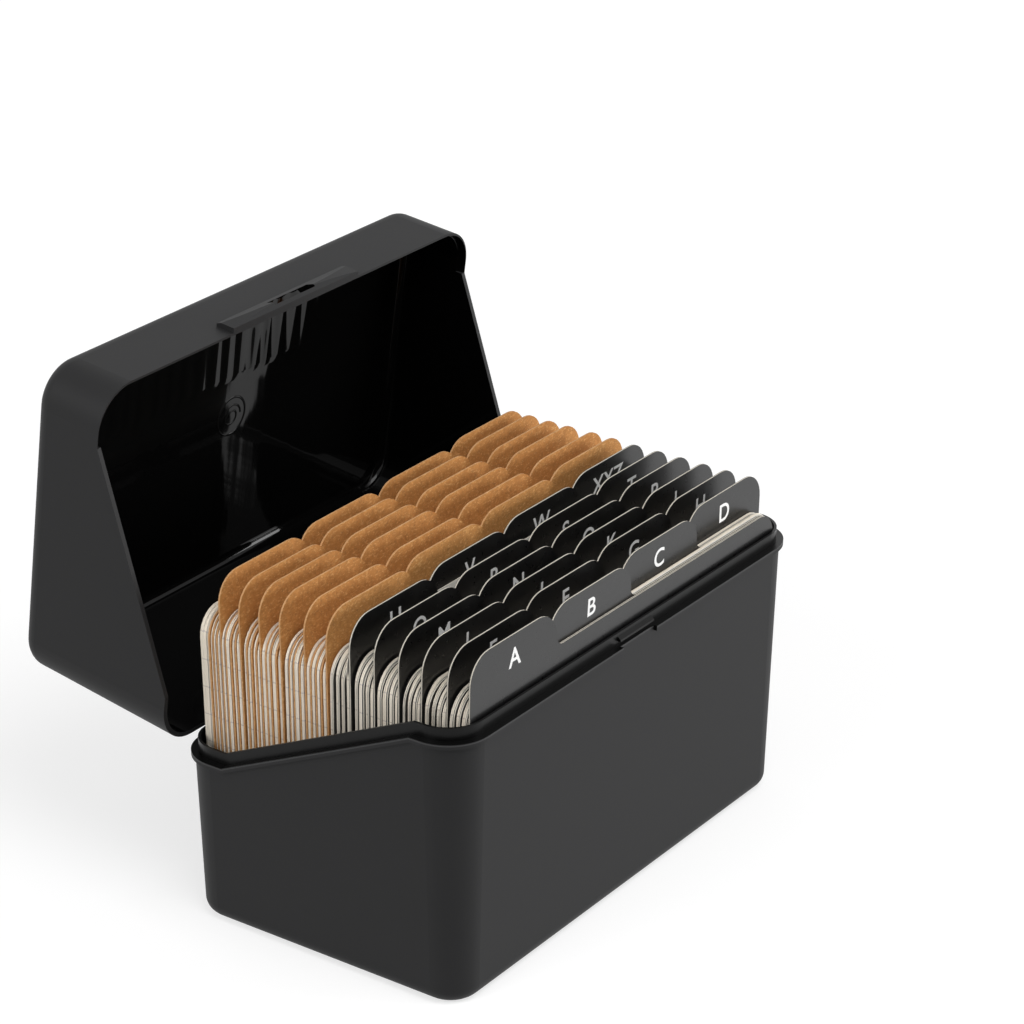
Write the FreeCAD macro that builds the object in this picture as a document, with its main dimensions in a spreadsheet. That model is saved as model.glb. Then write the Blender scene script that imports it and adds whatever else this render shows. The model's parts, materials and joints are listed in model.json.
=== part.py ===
import FreeCAD, Part
import math
import os

import Sketcher

# A flip-lid box for index cards, lid open, filled with lettered dividers, kraft dividers and cards.
# Frame: X along the width, Y towards the hinge side, Z up, origin at the middle of the underside.
# The lid is modelled shut and then turned about its hinge to the open position.

SIZES = {
    # tub, outside
    "side_room": (3.7, "room beside the cards, at the floor"),
    "front_room": (0.7, "room before the first divider, at the floor"),
    "back_room": (0.843, "room behind the last pack, at the floor"),
    "front_show": (8.8, "how far the cards stand above the bead at the front"),
    "back_show": (34.5, "how far the cards stand above the bead at the back"),
    "front_flat": (14.0, "level stretch of the rim behind the front face"),
    "back_flat": (14.6, "level stretch of the rim before the back face"),
    "rim_corner": (11.0, "outer corner radius of the bead"),
    "bead_proud": (1.0, "how far the bead stands out from the wall"),
    "bead_height": (1.3, "height of the bead"),
    "tub_draw_in": (2.0, "how far the walls draw in over the height of the front rim"),
    "foot_fillet": (4.0, "rounding of the bottom edge"),
    # tub, inside
    "tub_wall": (1.5, "wall thickness"),
    "tub_floor": (1.7, "floor thickness"),
    "lip_height": (3.2, "height of the thin lip above the bead"),
    "lip_inset": (0.85, "step from the wall's outer face to the lip"),
    # lid
    "seam": (0.15, "gap between the shut lid and the bead"),
    "roof_room": (0.3, "room between the tabs and the shut lid's roof"),
    "lid_wall": (1.2, "thickness of the lid's walls"),
    "lid_roof": (1.2, "thickness of the lid's flat top"),
    "lid_draw_in": (0.85, "how far the lid draws in all round from its low rim to its top"),
    "crown_fillet": (4.2, "rounding of the lid's top edge, outside"),
    "crown_inner_fillet": (2.5, "rounding of the lid's top edge, inside"),
    "lead_in_depth": (0.6, "width of the lead-in bevel inside the lid's front edge"),
    "lead_in_height": (2.0, "height of the lead-in bevel"),
    "open_angle": (82.0, "how far the lid turns back, in degrees"),
    # hinge
    "hinge_stand_off": (1.2, "hinge axis behind the bead"),
    "hinge_drop": (1.9, "hinge axis below the top of the bead at the back"),
    "hinge_spread": (36.0, "middle of each hinge from the middle of the box"),
    "pin_radius": (1.0, "stub pin moulded on the lid"),
    "pin_clearance": (0.08, "radial play of the stub pin in its ear"),
    "ear_radius": (2.2, "rounded end of a tub ear"),
    "ear_width": (2.4, "width of a tub ear"),
    "ear_web_rise": (0.9, "top of the ear's web above the axis"),
    "ear_rib_drop": (8.0, "foot of the ear's rib below the axis"),
    "knuckle_radius": (2.0, "barrel of the lid's knuckle"),
    "knuckle_width": (6.0, "width of the lid's knuckle"),
    "knuckle_play": (0.25, "side play between knuckle and ear"),
    "arm_offset": (1.7, "front face of the knuckle's arm before the axis"),
    "arm_rise": (7.0, "how far the arm climbs up the lid's back"),
    "stop_reach": (3.8, "how far the lid stop reaches behind the axis"),
    "stop_depth": (2.1, "height of the lid stop"),
    "stop_gap": (0.1, "gap between the open lid and its stop"),
    # latch
    "catch_width": (14.0, "width of the catch and of the break in the bead"),
    "catch_rise": (1.1, "catch above the bead"),
    "catch_height": (1.6, "height of the catch wedge"),
    "catch_nose": (0.5, "height of the wedge's nose"),
    "catch_bite": (0.25, "how far the catch reaches past the lid's inner face"),
    "latch_half_width": (24.0, "half width of the latch plate"),
    "latch_height": (5.3, "height of the latch plate"),
    "latch_top_proud": (0.7, "latch plate's stand-off at its top edge"),
    "latch_end_proud": (1.3, "latch plate's stand-off at its two ends"),
    "latch_lip_proud": (2.5, "latch plate's stand-off at the middle of its lip"),
    "latch_bevel": (1.2, "bevel below the lip"),
    "latch_root": (0.6, "how deep the plate is rooted in the lid's wall"),
    "window_play": (0.7, "side play of the catch in the latch window"),
    "window_rise": (0.75, "sill of the latch window"),
    "window_height": (2.6, "height of the latch window"),
    # cards and dividers
    "card_width": (127.0, "card and divider width, 5 inches"),
    "card_height": (76.2, "card and divider height, 3 inches"),
    "card_corner": (6.5, "top corner radius of cards and dividers"),
    "tab_width": (33.4, "width of a tab"),
    "tab_height": (9.9, "height of a tab"),
    "tab_corner": (6.0, "top corner radius of a tab"),
    "tab_root": (2.5, "hollow radius where a tab meets the shoulder"),
    "divider_thickness": (0.45, "divider board"),
    "card_thickness": (0.2, "one card"),
    "paper_gap": (0.15, "air between neighbours"),
    "seat_gap": (0.1, "air under the cards"),
    "front_tilt": (0.294, "how much further than the front wall the first row leans, in degrees"),
    "back_tilt": (-1.5, "lean of the last pack, in degrees"),
    "back_pack_depth": (2.0, "the pack of cards behind the last divider"),
}

# how many cards stand behind each divider, row by row, from the front of the box to the back
LETTER_CARD_COUNTS = (
    (1, 5, 4, 4),
    (5, 5, 4, 5),
    (3, 4, 4, 3),
    (4, 5, 5, 4),
    (4, 4, 5, 4),
    (5, 4, 5, 4),
)
KRAFT_CARD_COUNTS = (
    (4, 4, 4, 4),
    (4, 5, 3, 4),
    (4, 5, 3, 4),
    (3, 3, 3, 3),
    (4, 3, 4, 3),
    (2, 2, 2, 2),
)
LETTER_ROWS = (
    ("a", "b", "c", "d"),
    ("e", "f", "g", "h"),
    ("i", "j", "k", "l"),
    ("m", "n", "o", "p"),
    ("q", "r", "s", "t"),
    ("u", "v", "w", "xyz"),
)

CARD_COUNTS = LETTER_CARD_COUNTS + KRAFT_CARD_COUNTS
BOARD_COUNT = sum(len(row) for row in CARD_COUNTS)
CARD_COUNT = sum(sum(row) for row in CARD_COUNTS)
# tabs side by side in a row, and kraft rows whose cards lift out together
ROW_TABS = len(LETTER_ROWS[0])
SHARED_ROWS = 2

# sizes that follow from the others: the tub is built round the cards, and the lid and hinge on the tub
DERIVED = {
    "tab_pitch": f"( card_width - tab_width ) / {ROW_TABS - 1}",
    "stack_depth": f"{BOARD_COUNT} * ( divider_thickness + 2 * paper_gap )"
    f" + {CARD_COUNT} * card_thickness + back_pack_depth",
    "card_top": "tub_floor + seat_gap + card_height",
    "rim_front_height": "card_top - front_show",
    "rim_back_height": "card_top - back_show",
    "rim_half_width": "card_width / 2 + side_room + tub_wall + tub_draw_in + bead_proud",
    "rim_half_depth": "( stack_depth + front_room + back_room"
    " + tub_draw_in * ( 1 + rim_back_height / rim_front_height ) ) / 2 + tub_wall + bead_proud",
    "lid_height": "card_top + tab_height + roof_room + lid_roof",
    "hinge_depth": "rim_half_depth + hinge_stand_off",
    "hinge_height": "rim_back_height - hinge_drop",
}

doc = FreeCAD.newDocument("card_box")
sheet = doc.addObject("Spreadsheet::Sheet", "sizes")
for row, (alias, (value, note)) in enumerate(SIZES.items(), start=1):
    sheet.set(f"A{row}", note)
    sheet.set(f"B{row}", str(value))
    sheet.setAlias(f"B{row}", alias)
doc.recompute()


def spelled(expression, prefix):
    """The expression with derived sizes written out and the prefix before each alias."""
    words = expression.replace("(", " ( ").replace(")", " ) ").split()
    spelled_words = []
    for word in words:
        if word in DERIVED:
            spelled_words.append(f"( {spelled(DERIVED[word], prefix)} )")
        elif word in SIZES:
            spelled_words.append(prefix + word)
        else:
            spelled_words.append(word)
    return " ".join(spelled_words)


def size(expression):
    """The value of an expression over the sheet's aliases and the derived sizes."""
    return float(sheet.evalExpression(spelled(expression, "")))


def bound(expression):
    """The same expression as other objects write it, with each alias found in the sheet."""
    return spelled(expression, "sizes.")


# Sketches

PLANES = {
    "XY": FreeCAD.Rotation(),
    "XZ": FreeCAD.Rotation(FreeCAD.Vector(1, 0, 0), 90),
    "YZ": FreeCAD.Rotation(FreeCAD.Vector(1, 1, 1), 120),
}


def new_sketch(name, plane, body=None, level=None):
    """An empty sketch on a plane through the origin, raised by level along the plane's normal."""
    if body is None:
        sketch = doc.addObject("Sketcher::SketchObject", name)
        sketch.Placement = FreeCAD.Placement(FreeCAD.Vector(), PLANES[plane])
        if level:
            axis = {"XY": "z", "YZ": "x"}[plane]
            sketch.setExpression(f"Placement.Base.{axis}", bound(level))
        return sketch
    sketch = body.newObject("Sketcher::SketchObject", name)
    role = f"{plane}_Plane"
    origin_plane = [f for f in body.Origin.OriginFeatures if f.Role == role][0]
    sketch.AttachmentSupport = (origin_plane, [""])
    sketch.MapMode = "FlatFace"
    if level:
        sketch.setExpression("AttachmentOffset.Base.z", bound(level))
    return sketch


def drive(sketch, kind, first, second, expression):
    """A horizontal or vertical distance of a point from the sketch's origin, on the right side of it."""
    value = size(expression)
    if value < 0:
        index = sketch.addConstraint(Sketcher.Constraint(kind, first, second, -1, 1, -value))
        sketch.setExpression(f"Constraints[{index}]", bound(f"0 - ( {expression} )"))
        return
    index = sketch.addConstraint(Sketcher.Constraint(kind, -1, 1, first, second, value))
    sketch.setExpression(f"Constraints[{index}]", bound(expression))


def draw_polygon(sketch, corners):
    """A closed outline of straight lines; each corner is a pair of expressions."""
    points = [FreeCAD.Vector(size(x), size(y), 0) for x, y in corners]
    count = len(points)
    for i in range(count):
        sketch.addGeometry(Part.LineSegment(points[i], points[(i + 1) % count]))
    for i in range(count):
        sketch.addConstraint(Sketcher.Constraint("Coincident", i, 2, (i + 1) % count, 1))
    for i, (x, y) in enumerate(corners):
        drive(sketch, "DistanceX", i, 1, x)
        drive(sketch, "DistanceY", i, 1, y)
    return sketch


def draw_rounded(sketch, lines, radii):
    """A closed outline of level and upright lines, in turn, whose corners are arcs.

    A line is ("level", height) or ("upright", place), and radii[i] rounds the corner where
    line i ends.
    """
    count = len(lines)
    places = [size(place) for _, place in lines]

    def corner(i):
        """Where line i meets the next one."""
        following = (i + 1) % count
        if lines[i][0] == "level":
            return FreeCAD.Vector(places[following], places[i], 0)
        return FreeCAD.Vector(places[i], places[following], 0)

    corners = [corner(i) for i in range(count)]
    ways = [(corners[i] - corners[i - 1]).normalize() for i in range(count)]
    reach = [size(radius) for radius in radii]
    for i in range(count):
        start = corners[i - 1] + ways[i] * reach[i - 1]
        end = corners[i] - ways[i] * reach[i]
        sketch.addGeometry(Part.LineSegment(start, end))
    ends = []
    for i in range(count):
        along = ways[i]
        after = ways[(i + 1) % count]
        centre = corners[i] - along * reach[i] + after * reach[i]
        entry = corners[i] - along * reach[i] - centre
        leave = corners[i] + after * reach[i] - centre
        turns_left = along.cross(after).z > 0
        first, last = (entry, leave) if turns_left else (leave, entry)
        circle = Part.Circle(centre, FreeCAD.Vector(0, 0, 1), reach[i])
        start_angle = math.atan2(first.y, first.x)
        end_angle = math.atan2(last.y, last.x)
        sketch.addGeometry(Part.ArcOfCircle(circle, start_angle, end_angle))
        ends.append((1, 2) if turns_left else (2, 1))
    for i in range(count):
        arc = count + i
        entry_end, leave_end = ends[i]
        sketch.addConstraint(Sketcher.Constraint("Tangent", i, 2, arc, entry_end))
        sketch.addConstraint(Sketcher.Constraint("Tangent", arc, leave_end, (i + 1) % count, 1))
    for i, (direction, place) in enumerate(lines):
        if direction == "level":
            sketch.addConstraint(Sketcher.Constraint("Horizontal", i))
            if places[i]:
                drive(sketch, "DistanceY", i, 1, place)
            else:
                sketch.addConstraint(Sketcher.Constraint("PointOnObject", i, 1, -1))
        else:
            sketch.addConstraint(Sketcher.Constraint("Vertical", i))
            drive(sketch, "DistanceX", i, 1, place)
    for i, radius in enumerate(radii):
        index = sketch.addConstraint(Sketcher.Constraint("Radius", count + i, reach[i]))
        sketch.setExpression(f"Constraints[{index}]", bound(radius))
    return sketch


def draw_plan(sketch, half, front, back, corner):
    """A rounded rectangle seen from above, with its front and back at their own depths."""
    lines = (
        ("level", f"0 - ( {front} )"),
        ("upright", half),
        ("level", back),
        ("upright", f"0 - ( {half} )"),
    )
    return draw_rounded(sketch, lines, [corner] * len(lines))


# Features

def loft(body, kind, name, start, finish):
    """A straight loft between two plan outlines, each (level, half, front, back, corner)."""
    sketches = []
    for end, (level, half, front, back, corner) in (("start", start), ("finish", finish)):
        sketch = new_sketch(f"{name}_{end}", "XY", body, level)
        sketches.append(draw_plan(sketch, half, front, back, corner))
    feature = body.newObject(f"PartDesign::{kind}", name)
    feature.Profile = sketches[0]
    feature.Sections = [sketches[1]]
    feature.Ruled = True
    doc.recompute()
    return feature


def cut_away(body, name, corners):
    """Everything inside a side-view outline goes, right across the width."""
    sketch = draw_polygon(new_sketch(f"{name}_outline", "YZ", body), corners)
    before = body.Shape.Volume
    pocket = body.newObject("PartDesign::Pocket", name)
    pocket.Profile = sketch
    pocket.Type = "ThroughAll"
    pocket.Midplane = True
    doc.recompute()
    if not body.Shape.Volume < before:
        raise RuntimeError(f"{name} cuts nothing")
    return pocket


def round_edges(body, name, radius, wanted):
    """A fillet on the edges of the body's tip that the test picks."""
    tip = body.Tip
    names = [f"Edge{i}" for i, edge in enumerate(tip.Shape.Edges, start=1) if wanted(edge)]
    fillet = body.newObject("PartDesign::Fillet", name)
    fillet.Base = (tip, names)
    fillet.setExpression("Radius", bound(radius))
    doc.recompute()
    return fillet


def at_level(level):
    """A test for edges that lie wholly at one height."""
    height = size(level)

    def test(edge):
        box = edge.BoundBox
        return max(abs(box.ZMin - height), abs(box.ZMax - height)) < size("seam") / 10

    return test


def extrude(name, sketch, length, middle=False, reverse=False):
    """A prism on a sketch that stands alone."""
    prism = doc.addObject("Part::Extrusion", name)
    prism.Base = sketch
    prism.DirMode = "Normal"
    prism.Solid = True
    prism.Symmetric = middle
    prism.Reversed = reverse
    prism.setExpression("LengthFwd", bound(length))
    return prism


def box(name, corner, lengths):
    """A block from its lowest corner, each place and length an expression."""
    block = doc.addObject("Part::Box", name)
    for axis, place in zip("xyz", corner):
        block.setExpression(f"Placement.Base.{axis}", bound(place))
    for side, length in zip(("Length", "Width", "Height"), lengths):
        block.setExpression(side, bound(length))
    return block


def rod(name, start, radius, length):
    """A round bar along X from x = start, on the hinge axis."""
    bar = doc.addObject("Part::Cylinder", name)
    bar.Placement.Rotation = FreeCAD.Rotation(FreeCAD.Vector(0, 1, 0), 90)
    for axis, place in zip("xyz", (start, "hinge_depth", "hinge_height")):
        bar.setExpression(f"Placement.Base.{axis}", bound(place))
    bar.setExpression("Radius", bound(radius))
    bar.setExpression("Height", bound(length))
    return bar


def fuse(name, shapes):
    joined = doc.addObject("Part::MultiFuse", name)
    joined.Shapes = shapes
    return joined


def cut(name, base, tools):
    """The base without its tools, which are joined first."""
    result = doc.addObject("Part::Cut", name)
    result.Base = base
    result.Tool = fuse(f"{name}_tools", tools) if len(tools) > 1 else tools[0]
    return result


# The tub: a drafted, rounded tray whose rim steps down from front to back

# the four walls and their corners draw in alike, so that each corner is part of a true cone
MOULD_TOP = "( rim_front_height + lip_height )"
FOOT = (
    "0 * tub_floor",
    "( rim_half_width - bead_proud - tub_draw_in )",
    "( rim_half_depth - bead_proud - tub_draw_in )",
    "( rim_half_depth - bead_proud - tub_draw_in * rim_back_height / rim_front_height )",
    "( rim_corner - bead_proud - tub_draw_in )",
)
RISE_TO_TOP = f"tub_draw_in * {MOULD_TOP} / rim_front_height"
BROW = (MOULD_TOP, *(f"( {span} + {RISE_TO_TOP} )" for span in FOOT[1:]))
FLOOR_RUN = "tub_draw_in * tub_floor / rim_front_height - tub_wall"


def grown(outline, amount, level=None):
    """A plan outline grown outwards by an amount, at its own level or another."""
    own_level, *spans = outline
    return (level or own_level, *(f"( {span} + {amount} )" for span in spans))


def above_rim(rise):
    """The side view of all that lies above the stepped rim line raised by rise."""
    far = "( rim_half_depth * 2 )"
    roof = "( lid_height * 2 )"
    return (
        (f"0 - {far}", f"rim_front_height + {rise}"),
        ("front_flat - rim_half_depth", f"rim_front_height + {rise}"),
        ("rim_half_depth - back_flat", f"rim_back_height + {rise}"),
        (far, f"rim_back_height + {rise}"),
        (far, roof),
        (f"0 - {far}", roof),
    )


def below_rim(rise):
    """The side view of all that lies below the stepped rim line raised by rise."""
    far = "( rim_half_depth * 2 )"
    ground = "0 - rim_back_height"
    return above_rim(rise)[:4] + ((far, ground), (f"0 - {far}", ground))


tub_body = doc.addObject("PartDesign::Body", "tub_body")
loft(tub_body, "AdditiveLoft", "bead", grown(FOOT, "bead_proud"), grown(BROW, "bead_proud"))
cut_away(tub_body, "below_bead", below_rim("( 0 - bead_height )"))
loft(tub_body, "AdditiveLoft", "walls", FOOT, BROW)
cut_away(tub_body, "above_bead", above_rim("0 * seam"))
loft(tub_body, "AdditiveLoft", "lip", grown(FOOT, "( 0 - lip_inset )"), grown(BROW, "( 0 - lip_inset )"))
cut_away(tub_body, "above_lip", above_rim("lip_height"))
loft(
    tub_body,
    "SubtractiveLoft",
    "cavity",
    grown(FOOT, FLOOR_RUN, "tub_floor"),
    grown(BROW, "( 0 - tub_wall )"),
)
round_edges(tub_body, "foot_rounding", "foot_fillet", at_level("0 * seam"))

# what the hinge needs on the tub: four ears with bores, each with a stop behind it
WALL_BACK = "( rim_half_depth - bead_proud )"
EAR_INSET = "( knuckle_width / 2 + knuckle_play )"
ears = []
bores = []
ear_outline = draw_polygon(
    new_sketch("ear_outline", "YZ"),
    (
        (f"{WALL_BACK} - tub_wall / 2", "hinge_height + ear_web_rise"),
        ("hinge_depth", "hinge_height + ear_web_rise"),
        ("hinge_depth", "hinge_height - ear_radius"),
        (f"{WALL_BACK} - tub_wall / 2", "hinge_height - ear_rib_drop"),
    ),
)
for side, centre in (("left", "( 0 - hinge_spread )"), ("right", "hinge_spread")):
    for end, start in (
        ("outer", f"{centre} - {EAR_INSET} - ear_width"),
        ("inner", f"{centre} + {EAR_INSET}"),
    ):
        web = extrude(f"ear_web_{side}_{end}", ear_outline, "ear_width")
        web.setExpression("Placement.Base.x", bound(start))
        eye = rod(f"ear_eye_{side}_{end}", start, "ear_radius", "ear_width")
        # the stop lies along the open lid, so it turns with the opening angle
        stop = doc.addObject("Part::Box", f"lid_stop_{side}_{end}")
        stop.setExpression("Length", bound("ear_width"))
        stop.setExpression("Width", bound("stop_reach"))
        stop.setExpression("Height", bound("stop_depth"))
        lean = math.radians(90 - size("open_angle"))
        top = size("hinge_depth - rim_half_depth - stop_gap")
        drop = top - size("stop_depth")
        stop.Placement = FreeCAD.Placement(
            FreeCAD.Vector(
                size(start),
                size("hinge_depth") - drop * math.sin(lean),
                size("hinge_height") + drop * math.cos(lean),
            ),
            FreeCAD.Rotation(FreeCAD.Vector(1, 0, 0), math.degrees(lean)),
        )
        ears += [web, eye, stop]
    bores.append(
        rod(
            f"ear_bore_{side}",
            f"{centre} - {EAR_INSET} - ear_width * 2",
            "pin_radius + pin_clearance",
            f"( {EAR_INSET} + ear_width * 2 ) * 2",
        )
    )
    # the bead breaks off between the ears, where the lid's knuckle turns
    bores.append(
        box(
            f"bead_break_{side}",
            (
                f"{centre} - {EAR_INSET}",
                WALL_BACK,
                "rim_back_height - bead_height * 2",
            ),
            (f"{EAR_INSET} * 2", "bead_proud * 2", "bead_height * 3"),
        )
    )

# the catch at the front, a wedge on the lip over a break in the bead
LID_INSIDE = "( rim_half_depth - lid_wall )"
catch_outline = draw_polygon(
    new_sketch("catch_outline", "YZ"),
    (
        ("tub_wall / 2 + bead_proud - rim_half_depth + lip_inset / 2", "rim_front_height + catch_rise"),
        (f"0 - {LID_INSIDE} - catch_bite", "rim_front_height + catch_rise"),
        (f"0 - {LID_INSIDE} - catch_bite", "rim_front_height + catch_rise + catch_nose"),
        (
            "tub_wall / 2 + bead_proud - rim_half_depth + lip_inset / 2",
            "rim_front_height + catch_rise + catch_height",
        ),
    ),
)
catch = extrude("catch_wedge", catch_outline, "catch_width", middle=True)
bead_break = box(
    "bead_break_front",
    ("0 - catch_width / 2", "0 - rim_half_depth - bead_proud", "rim_front_height - bead_height * 1.5"),
    ("catch_width", "bead_proud * 2", "bead_height * 2"),
)
tub = cut("tub", fuse("tub_solid", [tub_body, catch] + ears), bores + [bead_break])
doc.recompute()

# The lid, modelled shut

LID_LOW = "( rim_back_height + seam )"
# the front meets the bead's width at the bead's own height, and so stands further out below it
LID_FRONT = (
    "( rim_half_depth + lid_draw_in * ( rim_front_height - rim_back_height )"
    f" / ( lid_height - {LID_LOW} ) )"
)
SKIRT = (LID_LOW, "rim_half_width", LID_FRONT, "rim_half_depth", "rim_corner")
CROWN = (
    "lid_height",
    "( rim_half_width - lid_draw_in )",
    f"( {LID_FRONT} - lid_draw_in )",
    "( rim_half_depth - lid_draw_in )",
    "( rim_corner - lid_draw_in )",
)
# each loft starts at the crown, the end whose edges are rounded
lid_body = doc.addObject("PartDesign::Body", "lid_body")
loft(lid_body, "AdditiveLoft", "lid_outside", CROWN, SKIRT)
round_edges(lid_body, "crown_rounding", "crown_fillet", at_level("lid_height"))
loft(
    lid_body,
    "SubtractiveLoft",
    "lid_inside",
    grown(CROWN, "( 0 - lid_wall )", "( lid_height - lid_roof )"),
    grown(SKIRT, "( 0 - lid_wall )"),
)
round_edges(lid_body, "crown_inner_rounding", "crown_inner_fillet", at_level("lid_height - lid_roof"))
cut_away(lid_body, "rim_step", below_rim("seam"))


def prism_between(name, low, high):
    """A loft that stands alone, between two plan outlines."""
    sections = []
    for end, (level, half, front, back, corner) in (("low", low), ("high", high)):
        sketch = new_sketch(f"{name}_{end}", "XY", level=level)
        sections.append(draw_plan(sketch, half, front, back, corner))
    tool = doc.addObject("Part::Loft", name)
    tool.Sections = sections
    tool.Solid = True
    tool.Ruled = True
    return tool


LID_EDGE = "( rim_front_height + seam )"
inner_skirt = grown(SKIRT, "( 0 - lid_wall )")
bevel = prism_between(
    "lead_in_loft",
    (
        f"( {LID_EDGE} )",
        *(
            f"( {span} + lead_in_depth )"
            for span in (inner_skirt[1], LID_INSIDE, LID_INSIDE, inner_skirt[4])
        ),
    ),
    (
        f"( {LID_EDGE} + lead_in_height )",
        inner_skirt[1],
        LID_INSIDE,
        LID_INSIDE,
        inner_skirt[4],
    ),
)
front_zone = box(
    "lead_in_zone",
    ("0 - rim_half_width", "0 - rim_half_depth", LID_EDGE),
    ("rim_half_width * 2", "front_flat", "lead_in_height"),
)
lead_in = doc.addObject("Part::Common", "lead_in")
lead_in.Base = bevel
lead_in.Tool = front_zone

# the latch plate: a bowed outline from above, met by a bevelled outline from the side
LATCH_TOP = f"{LID_EDGE} + latch_height"
plate_side = extrude(
    "latch_side",
    draw_polygon(
        new_sketch("latch_side_outline", "YZ"),
        (
            ("latch_root - rim_half_depth", LID_EDGE),
            ("latch_bevel - rim_half_depth - latch_lip_proud", LID_EDGE),
            ("0 - rim_half_depth - latch_lip_proud", f"{LID_EDGE} + latch_bevel"),
            ("0 - rim_half_depth - latch_top_proud", LATCH_TOP),
            ("latch_root - rim_half_depth", LATCH_TOP),
        ),
    ),
    "latch_half_width * 2",
    middle=True,
)


def latch_plan():
    """The plate seen from above: straight back and ends, and a bowed front."""
    sketch = new_sketch("latch_plan_outline", "XY", level=LID_EDGE)
    half = size("latch_half_width")
    root = size("latch_root - rim_half_depth")
    end = size("0 - rim_half_depth - latch_end_proud")
    crest = size("0 - rim_half_depth - latch_lip_proud")
    places = ((half, end), (half, root), (-half, root), (-half, end))
    corners = [FreeCAD.Vector(x, y, 0) for x, y in places]
    for i in range(3):
        sketch.addGeometry(Part.LineSegment(corners[i], corners[i + 1]))
    sketch.addGeometry(Part.Arc(corners[3], FreeCAD.Vector(0, crest, 0), corners[0]))
    for i in range(2):
        sketch.addConstraint(Sketcher.Constraint("Coincident", i, 2, i + 1, 1))
    sketch.addConstraint(Sketcher.Constraint("Coincident", 2, 2, 3, 1))
    sketch.addConstraint(Sketcher.Constraint("Coincident", 3, 2, 0, 1))
    drive(sketch, "DistanceX", 0, 1, "latch_half_width")
    drive(sketch, "DistanceY", 0, 1, "0 - rim_half_depth - latch_end_proud")
    drive(sketch, "DistanceX", 1, 1, "latch_half_width")
    drive(sketch, "DistanceY", 1, 1, "latch_root - rim_half_depth")
    drive(sketch, "DistanceX", 2, 1, "0 - latch_half_width")
    drive(sketch, "DistanceY", 2, 1, "latch_root - rim_half_depth")
    drive(sketch, "DistanceX", 2, 2, "0 - latch_half_width")
    drive(sketch, "DistanceY", 2, 2, "0 - rim_half_depth - latch_end_proud")
    # the bow's radius follows from its span and how far its middle stands out
    rise = "( latch_lip_proud - latch_end_proud )"
    radius = f"( latch_half_width * latch_half_width + {rise} * {rise} ) / ( 2 * {rise} )"
    index = sketch.addConstraint(Sketcher.Constraint("Radius", 3, size(radius)))
    sketch.setExpression(f"Constraints[{index}]", bound(radius))
    return sketch


latch = doc.addObject("Part::Common", "latch_plate")
latch.Base = extrude("latch_plan", latch_plan(), "latch_height")
latch.Tool = plate_side
window = box(
    "latch_window",
    (
        "0 - catch_width / 2 - window_play",
        "0 - rim_half_depth - latch_lip_proud * 2",
        f"{LID_EDGE} + window_rise",
    ),
    (
        "catch_width + window_play * 2",
        "latch_lip_proud * 2 + lid_wall * 2",
        "window_height",
    ),
)

# the lid's knuckles, with stub pins on both sides that snap into the tub's ears
arm_outline = draw_polygon(
    new_sketch("arm_outline", "YZ"),
    (
        ("hinge_depth - arm_offset", "hinge_height"),
        ("hinge_depth + knuckle_radius", "hinge_height"),
        ("rim_half_depth - lid_wall / 3", f"{LID_LOW} + arm_rise"),
        ("hinge_depth - arm_offset", f"{LID_LOW} + arm_rise / 2"),
    ),
)
knuckles = []
for side, centre in (("left", "( 0 - hinge_spread )"), ("right", "hinge_spread")):
    start = f"{centre} - knuckle_width / 2"
    arm = extrude(f"knuckle_arm_{side}", arm_outline, "knuckle_width")
    arm.setExpression("Placement.Base.x", bound(start))
    knuckles += [
        arm,
        rod(f"knuckle_{side}", start, "knuckle_radius", "knuckle_width"),
        rod(
            f"stub_pins_{side}",
            f"{centre} - {EAR_INSET} - ear_width",
            "pin_radius",
            f"( {EAR_INSET} + ear_width ) * 2",
        ),
    ]
lid = cut("lid", fuse("lid_solid", [lid_body, latch] + knuckles), [lead_in, window])
doc.recompute()
hinge = FreeCAD.Vector(0, size("hinge_depth"), size("hinge_height"))
turn = FreeCAD.Rotation(FreeCAD.Vector(1, 0, 0), -size("open_angle"))
lid.Placement = FreeCAD.Placement(FreeCAD.Vector(), turn, hinge)


# Cards and dividers, each standing on the floor with a slight lean

HALF_CARD = "( card_width / 2 )"
TAB_TOP = "card_height + tab_height"


TAB_CHORDS = 3
SHOULDER_CHORDS = 2
ROOT_CHORDS = 1


def chord_corners(lines, roundings):
    """The corners of an outline of level and upright lines, each corner rounded by short chords.

    A line is ("level", height) or ("upright", place), and roundings[i] is the radius and the
    number of chords where line i ends, or None where that corner is square.
    """
    count = len(lines)

    def corner(i):
        following = lines[(i + 1) % count][1]
        own = lines[i][1]
        return (following, own) if lines[i][0] == "level" else (own, following)

    corners = [corner(i) for i in range(count)]
    points = []
    for i, rounding in enumerate(roundings):
        x, y = corners[i]
        if rounding is None:
            points.append((x, y))
            continue
        radius, chords = rounding
        before = corners[i - 1]
        came = [size(f"( {x} ) - ( {before[0]} )"), size(f"( {y} ) - ( {before[1]} )")]
        after = corners[(i + 1) % count]
        goes = [size(f"( {after[0]} ) - ( {x} )"), size(f"( {after[1]} ) - ( {y} )")]
        for step in range(chords + 1):
            angle = math.pi / 2 * step / chords
            back_share = 1 - math.sin(angle)
            on_share = 1 - math.cos(angle)
            place = []
            for start, behind, ahead in zip((x, y), came, goes):
                share = math.copysign(on_share, ahead) * (abs(ahead) > 0)
                share -= math.copysign(back_share, behind) * (abs(behind) > 0)
                place.append(f"( {start} ) + ( {radius} ) * ( {share:.6f} )")
            points.append(tuple(place))
    return points


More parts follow.
